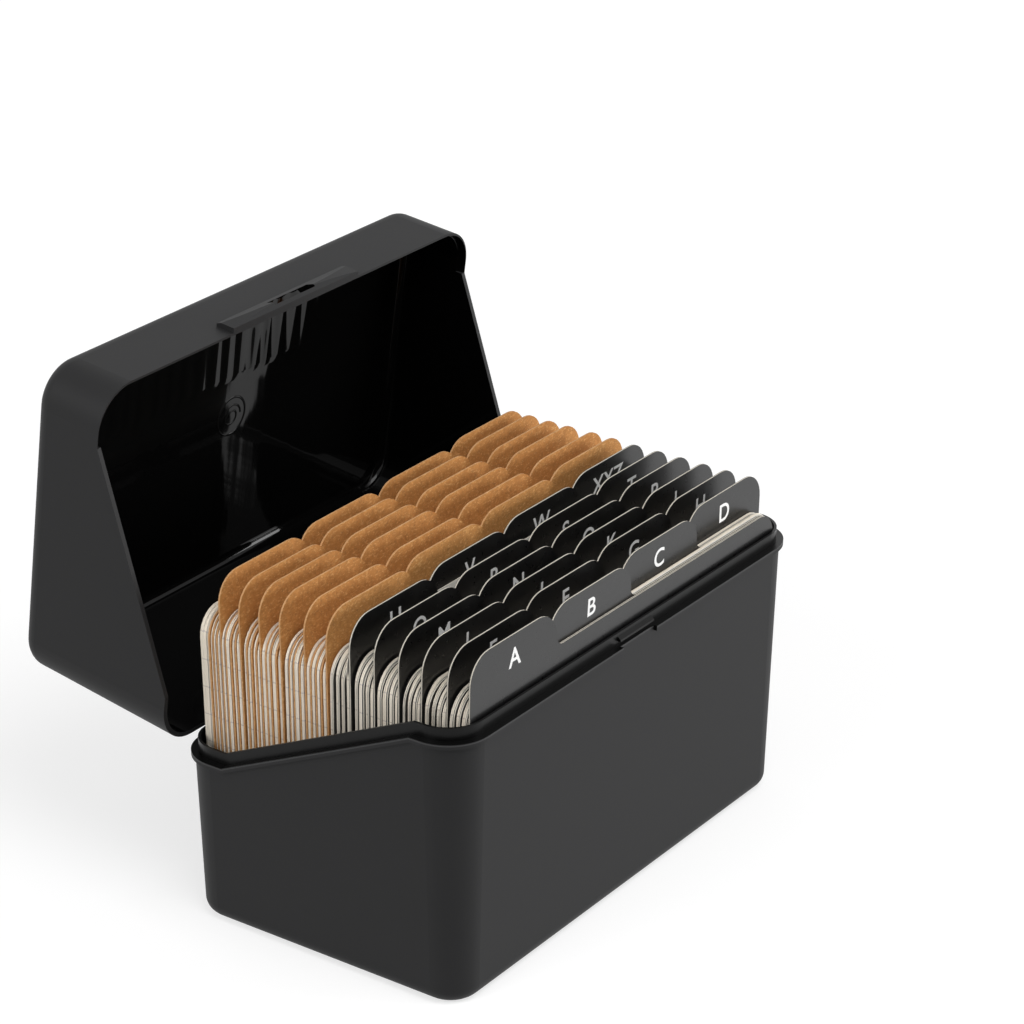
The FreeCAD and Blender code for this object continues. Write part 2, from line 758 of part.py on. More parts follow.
def card_outline():
    lines = (
        ("level", "0 * card_height"),
        ("upright", HALF_CARD),
        ("level", "card_height"),
        ("upright", f"0 - {HALF_CARD}"),
    )
    shoulder = ("card_corner", SHOULDER_CHORDS)
    points = chord_corners(lines, (None, shoulder, shoulder, None))
    return draw_polygon(new_sketch("card_outline", "XZ"), points)


def divider_outline(place):
    """A card with a tab in one of a row's places, numbered from the left."""
    left = f"{place} * tab_pitch - {HALF_CARD}"
    right = f"{left} + tab_width"
    shoulder = ("card_corner", SHOULDER_CHORDS)
    root = ("tab_root", ROOT_CHORDS)
    lines = [("level", "0 * card_height"), ("upright", HALF_CARD)]
    roundings = [None]
    if place < ROW_TABS - 1:
        lines += [("level", "card_height"), ("upright", right)]
        roundings += [shoulder, root]
    lines += [("level", TAB_TOP)]
    roundings += [("tab_corner", TAB_CHORDS)] * 2
    if place > 0:
        lines += [("upright", left), ("level", "card_height")]
        roundings += [root, shoulder]
    lines += [("upright", f"0 - {HALF_CARD}")]
    roundings += [None]
    sketch = new_sketch(f"divider_outline_{place + 1}", "XZ")
    return draw_polygon(sketch, chord_corners(lines, roundings))


divider_outlines = [divider_outline(place) for place in range(ROW_TABS)]
plain_outline = card_outline()
doc.recompute()


def stand(prism, depth, lean):
    """Puts a sheet's front foot on the floor at a depth, leaning forward by an angle."""
    foot = FreeCAD.Vector(0, depth, size("tub_floor + seat_gap"))
    prism.Placement = FreeCAD.Placement(foot, FreeCAD.Rotation(FreeCAD.Vector(1, 0, 0), lean))


def row_leans(spans, first, last):
    """One lean for each row, spread evenly between the front's and the back's."""
    whole = sum(spans)
    leans = []
    run = 0
    for span in spans:
        share = (run + span / 2) / whole
        leans.append(first + (last - first) * share)
        run += span
    return leans


nodes = {"tub": tub, "lid": lid}
rows = list(zip(LETTER_ROWS, LETTER_CARD_COUNTS))
for row, counts in enumerate(KRAFT_CARD_COUNTS):
    names = tuple(f"kraft_{row * ROW_TABS + place + 1:02d}" for place in range(ROW_TABS))
    rows.append((names, counts))
slot = size("divider_thickness + paper_gap * 2")
spans = [sum(counts) * size("card_thickness") + slot * len(counts) for _, counts in rows]
wall_lean = math.degrees(math.atan(size("tub_draw_in / rim_front_height")))
leans = row_leans(spans, wall_lean + size("front_tilt"), size("back_tilt"))
# two neighbouring kraft rows share one lean, because their cards lift out together
for first in range(len(LETTER_ROWS), len(rows), SHARED_ROWS):
    leans[first] = leans[first + 1] = (leans[first] + leans[first + 1]) / 2

depth = -size("rim_half_depth - bead_proud - tub_draw_in - tub_wall - front_room")
packs = {}
leans_of = {}
for row, ((names, counts), lean) in enumerate(zip(rows, leans)):
    lettered = row < len(LETTER_ROWS)
    if lettered:
        pack = f"cards_{names[0]}_to_{names[-1]}"
    else:
        shared = (row - len(LETTER_ROWS)) // SHARED_ROWS
        first = shared * SHARED_ROWS * ROW_TABS + 1
        pack = f"cards_kraft_{first:02d}_to_{first + SHARED_ROWS * ROW_TABS - 1:02d}"
    for place, (name, count) in enumerate(zip(names, counts)):
        board = extrude(f"divider_{name}", divider_outlines[place], "divider_thickness", reverse=True)
        stand(board, depth, lean)
        nodes[f"divider_{name}"] = board
        leans_of[f"divider_{name}"] = lean
        depth += size("divider_thickness + paper_gap")
        block = extrude(f"block_{name}", plain_outline, f"card_thickness * {count}", reverse=True)
        stand(block, depth, lean)
        packs.setdefault(pack, []).append(block)
        leans_of[pack] = lean
        depth += size(f"card_thickness * {count} + paper_gap")
last = extrude("block_back", plain_outline, "back_pack_depth", reverse=True)
stand(last, depth, leans[-1])
packs[pack].append(last)
depth += size("back_pack_depth")
for name, blocks in packs.items():
    group = doc.addObject("Part::Compound", name)
    group.Links = blocks
    nodes[name] = group
doc.recompute()

room = size(f"{FOOT[3]} + {FLOOR_RUN}")
print(f"last card ends at {depth:.2f} of {room:.2f} mm")
print("leans " + " ".join(f"{lean:.3f}" for lean in leans))

# Checks, then one file for each sub-part

for thing in doc.Objects:
    if "Invalid" in thing.State or "Error" in thing.State:
        raise RuntimeError(f"{thing.Name} failed: {thing.State}")
os.makedirs("parts", exist_ok=True)
for name, thing in nodes.items():
    thing.Label = name
    shape = thing.Shape
    if shape.isNull() or not shape.isValid():
        raise RuntimeError(f"{name} has no valid shape")
    shape.exportStep(f"parts/{name}.step")
print(f"{len(nodes)} sub-parts written")
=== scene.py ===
import json
import math
import random

import bmesh
import bpy
import numpy as np
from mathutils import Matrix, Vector

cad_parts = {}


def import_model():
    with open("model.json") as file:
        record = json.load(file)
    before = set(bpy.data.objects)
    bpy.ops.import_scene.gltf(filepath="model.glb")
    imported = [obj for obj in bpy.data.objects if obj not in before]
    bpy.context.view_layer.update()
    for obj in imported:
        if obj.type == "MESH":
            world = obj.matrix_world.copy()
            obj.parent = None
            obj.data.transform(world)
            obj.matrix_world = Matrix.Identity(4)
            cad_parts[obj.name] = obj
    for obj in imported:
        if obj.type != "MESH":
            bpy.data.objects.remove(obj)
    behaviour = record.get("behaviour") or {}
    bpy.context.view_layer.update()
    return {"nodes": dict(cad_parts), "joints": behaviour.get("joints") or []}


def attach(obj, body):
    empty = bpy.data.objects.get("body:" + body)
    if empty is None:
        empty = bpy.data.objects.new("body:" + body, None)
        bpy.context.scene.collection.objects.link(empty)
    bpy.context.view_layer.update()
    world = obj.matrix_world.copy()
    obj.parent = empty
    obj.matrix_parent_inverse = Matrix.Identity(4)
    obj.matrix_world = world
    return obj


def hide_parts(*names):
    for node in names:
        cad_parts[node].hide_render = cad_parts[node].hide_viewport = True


# An open card box: the moulded tub and lid keep their own shapes, and every board, card and letter
# is drawn finer here, on the plane where its solid stands.

MM = 0.001
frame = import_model()
RNG = random.Random(11)

# Sizes that the sheets repeat, in millimetres
CARD_WIDTH = 127.0
CARD_HEIGHT = 76.2
CARD_CORNER = 6.5
TAB_WIDTH = 33.4
TAB_PITCH = (CARD_WIDTH - TAB_WIDTH) / 3
TAB_HEIGHT = 9.9
TAB_CORNER = 7.2
TAB_ROOT = 2.5
CORNER_STEPS = 7
TAB_CORNER_STEPS = 8
ROOT_STEPS = 5
BOARD_CELLS = (16, 12)
CARD_CELLS = (5, 5)
# cards stand this far apart, each fills a share of its pitch, and a block's first card sits back
CARD_PITCH = 0.2
CARD_SHARE = 0.9
CLOSE_UP = 0.1
BOARD_COAT = 0.08
SAME_DEPTH = 0.03

# How the sheets stray from their solids, in millimetres
BOW = 0.22
TAB_REACH = (-0.3, 0.35)
BEND_BELOW_SHOULDER = 6
BLACK_DRIFT = (-0.3, 0.0)
KRAFT_DRIFT = (0.0, 0.35)
BLOCK_SHIFT = (-0.1, 0.5)
BLOCK_RISE = (-0.1, 0.3)
CARD_JITTER = 0.05
CORNER_JITTER = (-0.3, 0.5)
STRAY_CARD = 4.0
# the front board's tab leans back, so that the lid shuts past it
FRONT_BOARD = "divider_a"
FRONT_REACH = -0.4

# How pale a card's edge is, from 0 to 1
BLOCK_TONE = (0.45, 0.85)
TONE_JITTER = 0.07

# The print on the black tabs, in millimetres or as a share of the letters' size
LETTER_HEIGHT = 4.6
LETTER_BASE = 2.1
PRINT_THICK = 0.03
PRINT_OUT = 0.4
CAP_SHARE = 0.70
PRINT_WEIGHT = 0.085
LETTER_SPACE = 1.06
LETTERS = ("a", "b", "c", "d", "e", "f", "g", "h", "i", "j", "k", "l", "m", "n", "o", "p")
LETTERS += ("q", "r", "s", "t", "u", "v", "w", "xyz")
KRAFT_BOARDS = 24
TABS_IN_ROW = 4

# The rules on the cards, in metres above the cards' foot
RULE_SPACING = 7.1 * MM
RULE_WIDTH = 0.3 * MM
SHEET_FOOT = 1.8 * MM

# Where the plastic changes, in metres: points inside each moulding, the two kinks of the tub's rim
# line as (y, z), the ledge and the painted highlight band below that line, and the flutes' foot in the
# lid
TUB_CENTRE = (0, 0, 0.036)
LID_CENTRE = (0, 0.0665, 0.0863)
RIM = ((-0.0281, 0.0692), (0.0275, 0.0435))
LEDGE_DROP = 0.00015
# painted highlight: how far below the rim line the lighter band lies, and its half width
HIGHLIGHT_DROP = 0.0003
HIGHLIGHT_HALF_WIDTH = 0.00022
FLUTES_FROM = 0.1040
FLUTES_FADE = 0.0015
FLUTES_TURN = 1200.0

# The gate mark on the lid's roof: its centre in metres, its tracks as radii in millimetres
LID_OPEN = math.radians(82)
GATE = (0.0024, 0, 0.094)
RING_RADIUS = 5.2
RING_STEPS = 48
RING_SECTION = (0.35, 0.14)
SWIRL_RADIUS = 3.4
SWIRL_CLOSES = 2.4
SWIRL_TURN = 540.0
SWIRL_STEPS = 60
SWIRL_SECTION = (0.3, 0.16)
SECTION_SIDES = 12
SUNK = 0.02

# The studio, in metres, watts and degrees
LAMP_AIM = (0, 0, 0.05)
LAMPS = (
    ("key", (0.95, -1.33, 0.42), (0.9, 0.6), 16.0),
    ("left", (-1.15, 0.3, 0.75), (0.7, 0.6), 7.5),
    ("top", (-0.25, -0.65, 1.2), (0.8, 0.7), 9.0),
)
FLOOR_HALF = 4.0
FLOOR_TONE = 0.42
GLOW_REACH = (0.25, 1.6)
GLOW = (0.64, 0.88)
WORLD_LIGHT = 0.3
CAMERA_YAW = -54.49
CAMERA_PITCH = 24.252
CAMERA_LENS = 124.11
CAMERA_TARGET = (0.007133, 0, 0.08759)
CAMERA_DISTANCE = 0.8464


# Node helpers

def new_material(name):
    material = bpy.data.materials.new(name)
    material.use_nodes = True
    tree = material.node_tree
    return material, tree, tree.nodes["Principled BSDF"]


def node(tree, kind, **settings):
    made = tree.nodes.new(kind)
    for key, value in settings.items():
        setattr(made, key, value)
    return made


def put(tree, value, socket):
    """Links a node's output, or sets a plain value."""
    if hasattr(value, "links"):
        tree.links.new(value, socket)
    else:
        socket.default_value = value


def maths(tree, operation, first, second=0.0):
    made = node(tree, "ShaderNodeMath", operation=operation)
    put(tree, first, made.inputs[0])
    put(tree, second, made.inputs[1])
    return made.outputs[0]


def vector_maths(tree, operation, first, second=None):
    made = node(tree, "ShaderNodeVectorMath", operation=operation)
    put(tree, first, made.inputs[0])
    if second is not None:
        put(tree, second, made.inputs[1])
    number = operation in ("DOT_PRODUCT", "LENGTH")
    return made.outputs["Value" if number else "Vector"]


def mixed(tree, factor, first, second):
    made = node(tree, "ShaderNodeMix", data_type="RGBA")
    for socket, value in zip((0, 6, 7), (factor, first, second)):
        put(tree, value, made.inputs[socket])
    return made.outputs[2]


def mixed_number(tree, factor, first, second):
    made = node(tree, "ShaderNodeMix", data_type="FLOAT")
    for socket, value in zip((0, 2, 3), (factor, first, second)):
        put(tree, value, made.inputs[socket])
    return made.outputs[0]


def mapped(tree, value, low, high, out_low=0.0, out_high=1.0):
    made = node(tree, "ShaderNodeMapRange")
    for socket, number in zip(made.inputs[:5], (value, low, high, out_low, out_high)):
        put(tree, number, socket)
    return made.outputs[0]


def coordinates(tree):
    return node(tree, "ShaderNodeTexCoord").outputs["Object"]


def surface_normal(tree):
    """The surface's own direction, in the object's frame."""
    return node(tree, "ShaderNodeTexCoord").outputs["Normal"]


def split(tree, vector):
    made = node(tree, "ShaderNodeSeparateXYZ")
    put(tree, vector, made.inputs[0])
    return made.outputs


def noise(tree, vector, scale, detail=3.0, roughness=0.5, stretch=None):
    if stretch is not None:
        vector = vector_maths(tree, "MULTIPLY", vector, stretch)
    made = node(tree, "ShaderNodeTexNoise")
    put(tree, vector, made.inputs["Vector"])
    made.inputs["Scale"].default_value = scale
    made.inputs["Detail"].default_value = detail
    made.inputs["Roughness"].default_value = roughness
    return made.outputs["Fac"]


def bumped(tree, height, strength, distance, shader):
    made = node(tree, "ShaderNodeBump")
    put(tree, height, made.inputs["Height"])
    put(tree, strength, made.inputs["Strength"])
    made.inputs["Distance"].default_value = distance
    tree.links.new(made.outputs[0], shader.inputs["Normal"])


# Materials

def plastic(name, centre, rim=None, flutes_from=None):
    """Black moulded plastic: a fine satin grain outside and polished, slightly wavy faces inside.

    A face is inside where it looks towards the centre. On the tub, whose rim line has its two
    kinks in rim as (y, z) pairs, the ledge and the lip above that line are polished too. On the
    lid, faint upright flutes run over the inside above the height flutes_from.
    """
    material, tree, shader = new_material(name)
    place = coordinates(tree)
    x, y, z = split(tree, place)
    away = vector_maths(tree, "SUBTRACT", place, centre)
    facing = vector_maths(tree, "DOT_PRODUCT", away, surface_normal(tree))
    inside = maths(tree, "LESS_THAN", facing, 0.0)
    gloss = 0.04
    edge = None
    if rim:
        (front_y, front_z), (back_y, back_z) = rim
        line = mapped(tree, y, front_y, back_y, front_z, back_z)
        above = maths(tree, "GREATER_THAN", z, maths(tree, "SUBTRACT", line, LEDGE_DROP))
        inside = maths(tree, "MAXIMUM", inside, above)
        gloss = 0.3
        # painted highlight: a thin band just under the rim line is drawn lighter, standing in for the
        # light caught by the bead's rounded top edge
        below = maths(tree, "SUBTRACT", line, z)
        off_highlight = maths(tree, "ABSOLUTE", maths(tree, "SUBTRACT", below, HIGHLIGHT_DROP))
        edge = maths(tree, "LESS_THAN", off_highlight, HIGHLIGHT_HALF_WIDTH)
    grain = noise(tree, place, 2600.0, 2.0, 0.6)
    pores = noise(tree, place, 900.0, 2.0, 0.5)
    waves = noise(tree, place, 110.0, 2.0, 0.4, stretch=(1.0, 0.05, 0.05))
    cloud = noise(tree, place, 30.0, 3.0, 0.5)
    fine = maths(tree, "MULTIPLY", grain, 0.7)
    outside_height = maths(tree, "ADD", fine, maths(tree, "MULTIPLY", pores, 0.5))
    inside_height = maths(tree, "MULTIPLY", waves, 4.0)
    if flutes_from:
        across = maths(tree, "MULTIPLY", x, FLUTES_TURN)
        turn = maths(tree, "ADD", across, maths(tree, "MULTIPLY", waves, 5.0))
        fade = mapped(tree, z, flutes_from, flutes_from + FLUTES_FADE)
        flute = maths(tree, "MULTIPLY", maths(tree, "SINE", turn), fade)
        inside_height = maths(tree, "ADD", inside_height, maths(tree, "MULTIPLY", flute, 1.5))
    bumped(tree, mixed_number(tree, inside, outside_height, inside_height), 0.35, 0.00006, shader)
    satin = maths(tree, "ADD", 0.50, maths(tree, "MULTIPLY", cloud, 0.08))
    polish = maths(tree, "ADD", gloss - 0.01, maths(tree, "MULTIPLY", cloud, 0.03))
    put(tree, mixed_number(tree, inside, satin, polish), shader.inputs["Roughness"])
    tone = mixed(tree, cloud, (0.012, 0.012, 0.0125, 1), (0.017, 0.017, 0.0175, 1))
    # the lighter tone on that band is a painted highlight
    if edge:
        tone = mixed(tree, edge, tone, (0.045, 0.045, 0.046, 1))
    put(tree, mixed(tree, inside, tone, (0.002, 0.002, 0.002, 1)), shader.inputs["Base Color"])
    shader.inputs["Specular IOR Level"].default_value = 0.17
    return material


def black_board():
    """Coated black card: nearly smooth, with a faint fibre."""
    material, tree, shader = new_material("black_board_face")
    place = coordinates(tree)
    fibre = noise(tree, place, 700.0, 4.0, 0.6)
    cloud = noise(tree, place, 45.0, 3.0, 0.5)
    tone = mixed(tree, cloud, (0.002, 0.002, 0.0022, 1), (0.005, 0.005, 0.0052, 1))
    put(tree, tone, shader.inputs["Base Color"])
    put(tree, mapped(tree, fibre, 0.3, 0.7, 0.27, 0.30), shader.inputs["Roughness"])
    bumped(tree, fibre, 0.1, 0.00002, shader)
    return material


def board_core():
    """The cut edge of a black board: the pale core, dulled in places by the blade."""
    material, tree, shader = new_material("black_board_core")
    place = coordinates(tree)
    streak = noise(tree, place, 260.0, 3.0, 0.6)
    tone = mixed(tree, streak, (0.46, 0.42, 0.35, 1), (0.68, 0.64, 0.55, 1))
    put(tree, tone, shader.inputs["Base Color"])
    shader.inputs["Roughness"].default_value = 0.85
    bumped(tree, noise(tree, place, 2000.0, 2.0), 0.3, 0.00005, shader)
    return material


def kraft(name, dark, light, speck):
    """Kraft board: long and short fibres over a warm brown."""
    material, tree, shader = new_material(name)
    place = coordinates(tree)
    cloud = noise(tree, place, 750.0, 4.0, 0.7)
    fibre = noise(tree, place, 1700.0, 4.0, 0.75, stretch=(0.6, 1.0, 1.2))
    fleck = noise(tree, place, 1500.0, 3.0, 0.7)
    base = mixed(tree, mapped(tree, cloud, 0.3, 0.7), dark, light)
    specked = maths(tree, "MULTIPLY", mapped(tree, fibre, 0.52, 0.68), 0.75)
    base = mixed(tree, specked, base, speck)
    flecked = maths(tree, "MULTIPLY", mapped(tree, fleck, 0.55, 0.66), 0.5)
    put(tree, mixed(tree, flecked, base, (0.20, 0.09, 0.03, 1)), shader.inputs["Base Color"])
    shader.inputs["Roughness"].default_value = 0.82
    bumped(tree, fibre, 0.35, 0.00006, shader)
    return material


def rule_mask(tree, place):
    """1 on the printed rules of a card, which are level lines at an even spacing."""
    x, y, z = split(tree, place)
    turns = maths(tree, "DIVIDE", maths(tree, "SUBTRACT", z, SHEET_FOOT), RULE_SPACING)
    share = maths(tree, "FRACT", turns)
    return maths(tree, "LESS_THAN", share, RULE_WIDTH / RULE_SPACING)


def card_face():
    material, tree, shader = new_material("card_face")
    place = coordinates(tree)
    cloud = noise(tree, place, 60.0, 3.0, 0.5)
    base = mixed(tree, cloud, (0.80, 0.77, 0.70, 1), (0.88, 0.86, 0.80, 1))
    rules = maths(tree, "MULTIPLY", rule_mask(tree, place), 0.55)
    put(tree, mixed(tree, rules, base, (0.36, 0.45, 0.60, 1)), shader.inputs["Base Color"])
    shader.inputs["Roughness"].default_value = 0.75
    bumped(tree, noise(tree, place, 900.0, 3.0), 0.15, 0.00004, shader)
    return material


def card_edge():
    """Cut card edges: cream, each card its own tone, with faint ends of the printed rules."""
    material, tree, shader = new_material("card_edge")
    place = coordinates(tree)
    tone = node(tree, "ShaderNodeAttribute", attribute_name="tone").outputs["Fac"]
    streak = noise(tree, place, 500.0, 3.0, 0.6, stretch=(1.0, 1.0, 0.1))
    base = mixed(tree, tone, (0.74, 0.63, 0.49, 1), (0.98, 0.91, 0.79, 1))
    streaked = maths(tree, "MULTIPLY", mapped(tree, streak, 0.35, 0.7), 0.35)
    base = mixed(tree, streaked, base, (0.64, 0.56, 0.46, 1))
    rules = maths(tree, "MULTIPLY", rule_mask(tree, place), 0.4)
    put(tree, mixed(tree, rules, base, (0.40, 0.30, 0.24, 1)), shader.inputs["Base Color"])
    shader.inputs["Roughness"].default_value = 0.8
    return material


def ink():
    material, tree, shader = new_material("white_ink")
    cover = noise(tree, coordinates(tree), 1200.0, 3.0)
    tone = mixed(tree, cover, (0.88, 0.88, 0.87, 1), (0.96, 0.96, 0.95, 1))
    put(tree, tone, shader.inputs["Base Color"])
    shader.inputs["Roughness"].default_value = 0.5
    return material


# Sheets

def arc(centre, radius, start, end, steps):
    """Points on an arc, in degrees, both ends included."""
    angles = [math.radians(start + (end - start) * i / steps) for i in range(steps + 1)]
    return [(centre[0] + radius * math.cos(a), centre[1] + radius * math.sin(a)) for a in angles]


def card_outline(corner):
    half = CARD_WIDTH / 2
    points = [(-half, 0), (half, 0)]
    points += arc((half - corner, CARD_HEIGHT - corner), corner, 0, 90, CORNER_STEPS)
    points += arc((corner - half, CARD_HEIGHT - corner), corner, 90, 180, CORNER_STEPS)
    return points


def board_outline(place):
    """A card with a tab in one of four places, from the foot round the right end."""
    half = CARD_WIDTH / 2
    left = place * TAB_PITCH - half
    right = left + TAB_WIDTH
    round_z = CARD_HEIGHT + TAB_HEIGHT - TAB_CORNER
    root_z = CARD_HEIGHT + TAB_ROOT
    shoulder = CARD_HEIGHT - CARD_CORNER
    points = [(-half, 0), (half, 0)]
    if place < TABS_IN_ROW - 1:
        points += arc((half - CARD_CORNER, shoulder), CARD_CORNER, 0, 90, CORNER_STEPS)
        points += arc((right + TAB_ROOT, root_z), TAB_ROOT, 270, 180, ROOT_STEPS)
    points += arc((right - TAB_CORNER, round_z), TAB_CORNER, 0, 90, TAB_CORNER_STEPS)
    points += arc((left + TAB_CORNER, round_z), TAB_CORNER, 90, 180, TAB_CORNER_STEPS)
    if place > 0:
        points += arc((left - TAB_ROOT, root_z), TAB_ROOT, 0, -90, ROOT_STEPS)
        points += arc((CARD_CORNER - half, shoulder), CARD_CORNER, 90, 180, CORNER_STEPS)
    return points


def sheet_frame(name):
    """How a sheet or pack stands: its lean, its foot along the lean, and each slab's two faces."""
    joint = [j for j in frame["joints"] if j["child"] == name][0]
    lean = math.atan2(-joint["axis"][1], joint["axis"][2])
    mesh = frame["nodes"][name].data
    points = np.empty(len(mesh.vertices) * 3)
    mesh.vertices.foreach_get("co", points)
    points = points.reshape(-1, 3)
    forward = np.array((0, -math.cos(lean), -math.sin(lean)))
    along = np.array((0, -math.sin(lean), math.cos(lean)))
    found = np.unique((points @ forward / MM).round(2))
    depths = [d for i, d in enumerate(found) if i == 0 or d - found[i - 1] > SAME_DEPTH]
    slabs = [(depths[i + 1], depths[i]) for i in range(0, len(depths) - 1, 2)]
    slabs.reverse()
    return {"along": along, "forward": forward, "foot": (points @ along).min() / MM, "slabs": slabs}


def bulge(x, u):
    """How far the whole pack bows forward at a point of its sheets."""
    up = min(u, CARD_HEIGHT) / CARD_HEIGHT
    return BOW * math.cos(math.pi * x / CARD_WIDTH) * math.sin(math.pi * up)


def tab_bend(u, reach):
    """A tab leans on its own above the cards, by reach at its top."""
    start = CARD_HEIGHT - BEND_BELOW_SHOULDER
    rise = max(0.0, u - start) / (CARD_HEIGHT + TAB_HEIGHT - start)
    return reach * rise * rise


def on_plane(stand, x, u, n):
    """The point at x, at u up the sheet from its foot and at n in front of the origin."""
    return (stand["along"] * (stand["foot"] + u) + stand["forward"] * n) * MM + np.array((x * MM, 0, 0))


def flat_cells(outline, cuts):
    """The outline as a flat mesh cut into cells, so that it can bend."""
    flat = bmesh.new()
    flat.faces.new([flat.verts.new((x, u, 0)) for x, u in outline])
    spans = (
        (Vector((1, 0, 0)), -CARD_WIDTH / 2, CARD_WIDTH / 2),
        (Vector((0, 1, 0)), 0, CARD_HEIGHT + TAB_HEIGHT),
    )
    for (normal, low, high), count in zip(spans, cuts):
        for i in range(1, count):
            at = normal * (low + (high - low) * i / count)
            whole = flat.verts[:] + flat.edges[:] + flat.faces[:]
            bmesh.ops.bisect_plane(flat, geom=whole, plane_co=at, plane_no=normal, dist=1e-4)
    flat.verts.index_update()
    return flat


def add_sheet(bm, stand, outline, front, back, cuts, shift=(0, 0), reach=0.0, tone=None, coat=0.0):
    """One sheet: its outline cut into cells, bent with the pack and closed by an edge strip.

    With a coat, the edge strip is three: the coat's colour, the core's and the coat's again.
    """
    flat = flat_cells(outline, cuts)
    sides = []
    layers = (front, front - coat, back + coat, back) if coat else (front, back)
    for n in layers:
        row = []
        for v in flat.verts:
            x, u = v.co.x, v.co.y
            depth = n + bulge(x, u) + tab_bend(u, reach)
            row.append(bm.verts.new(on_plane(stand, x + shift[0], u + shift[1], depth)))
        sides.append(row)
    made = []
    for f in flat.faces:
        ids = [v.index for v in f.verts]
        made.append((bm.faces.new([sides[0][i] for i in ids]), 0))
        made.append((bm.faces.new([sides[-1][i] for i in reversed(ids)]), 0))
    for e in flat.edges:
        if e.is_boundary:
            loop = [l for l in e.link_faces[0].loops if l.edge == e][0]
            a, b = loop.vert.index, loop.link_loop_next.vert.index
            for i in range(len(sides) - 1):
                strip = (sides[i][b], sides[i][a], sides[i + 1][a], sides[i + 1][b])
                made.append((bm.faces.new(strip), 0 if coat and i != 1 else 1))
    tones = bm.faces.layers.float.get("tone")
    for face, slot in made:
        face.material_index = slot
        face.smooth = False
        if tone is not None:
            face[tones] = tone
    # the layers between the two faces only need their outline
    for row in sides[1:-1]:
        for v in row:
            if not v.link_faces:
                bm.verts.remove(v)
    flat.free()


def placed(name, data):
    """A new object in the scene."""
    obj = bpy.data.objects.new(name, data)
    bpy.context.scene.collection.objects.link(obj)
    return obj


def finished(name, bm, materials, body, replaced=()):
    """A mesh as a piece that rides on a body and the nodes it replaces."""
    bm.normal_update()
    mesh = bpy.data.meshes.new(name)
    bm.to_mesh(mesh)
    bm.free()
    obj = placed(name, mesh)
    for material in materials:
        mesh.materials.append(material)
    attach(obj, body)
    if replaced:
        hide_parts(*replaced)


def board(name, place, materials, drift, coat=0.0):
    """A tab divider with its own small lean at the tab; gives back how it stands and leans."""
    stand = sheet_frame(name)
    front, back = stand["slabs"][0]
    reach = RNG.uniform(*TAB_REACH)
    if name == FRONT_BOARD:
        reach = FRONT_REACH
    shift = (RNG.uniform(*drift), 0)
    bm = bmesh.new()
    add_sheet(bm, stand, board_outline(place), front, back, BOARD_CELLS, shift, reach, coat=coat)
    finished(f"{name}_sheet", bm, materials, name, (name,))
    return stand, front, reach


def card_group(name, materials):
    """Every loose card of a group, each a hair out of line with its neighbours."""
    stand = sheet_frame(name)
    bm = bmesh.new()
    bm.faces.layers.float.new("tone")
    for number, (front, back) in enumerate(stand["slabs"]):
        count = round((front - back) / CARD_PITCH)
        pitch = (front - back - CLOSE_UP) / count
        aside, rise = RNG.uniform(*BLOCK_SHIFT), RNG.uniform(*BLOCK_RISE)
        block_tone = RNG.uniform(*BLOCK_TONE)
        for i in range(count):
            top = front - CLOSE_UP - i * pitch
            card_aside = aside + RNG.gauss(0, CARD_JITTER)
            card_rise = max(0.0, rise + RNG.gauss(0, CARD_JITTER))
            # one card stands proud between the boards, as in the photograph
            if (name, number, i) == ("cards_u_to_xyz", 0, count - 1):
                card_rise = STRAY_CARD
            corner = CARD_CORNER + RNG.uniform(*CORNER_JITTER)
            tone = min(1.0, max(0.0, block_tone + RNG.gauss(0, TONE_JITTER)))
            low = top - pitch * CARD_SHARE
            shift = (card_aside, card_rise)
            add_sheet(bm, stand, card_outline(corner), top, low, CARD_CELLS, shift, tone=tone)
    finished(f"{name}_sheets", bm, materials, name, (name,))


def letter(text, name, stand, front, reach, material, place):
    """Printed letters on a tab's front face, as thin closed solids."""
    curve = bpy.data.curves.new(f"print_{text}", "FONT")
    curve.body = text
    curve.align_x = "CENTER"
    curve.size = LETTER_HEIGHT / CAP_SHARE
    curve.offset = PRINT_WEIGHT
    curve.extrude = PRINT_THICK / 2
    curve.space_character = LETTER_SPACE
    curve.resolution_u = 6
    source = placed(f"print_{text}", curve)
    mesh = bpy.data.meshes.new_from_object(source)
    bpy.data.objects.remove(source)
    bm = bmesh.new()
    bm.from_mesh(mesh)
    bmesh.ops.remove_doubles(bm, verts=bm.verts[:], dist=1e-4)
    for face in bm.faces:
        face.smooth = False
    bm.to_mesh(mesh)
    bm.free()
    tab_centre = place * TAB_PITCH + TAB_WIDTH / 2 - CARD_WIDTH / 2
    base = CARD_HEIGHT + LETTER_BASE
    for v in mesh.vertices:
        x, u = v.co.x + tab_centre, v.co.y + base
        depth = front + PRINT_THICK * PRINT_OUT + v.co.z + bulge(x, u) + tab_bend(u, reach)
        v.co = on_plane(stand, x, u, depth)
    mesh.update()
    obj = placed(f"letter_{text.lower()}", mesh)
    mesh.materials.clear()
    mesh.materials.append(material)
    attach(obj, name)


# The mark that the mould's gate leaves

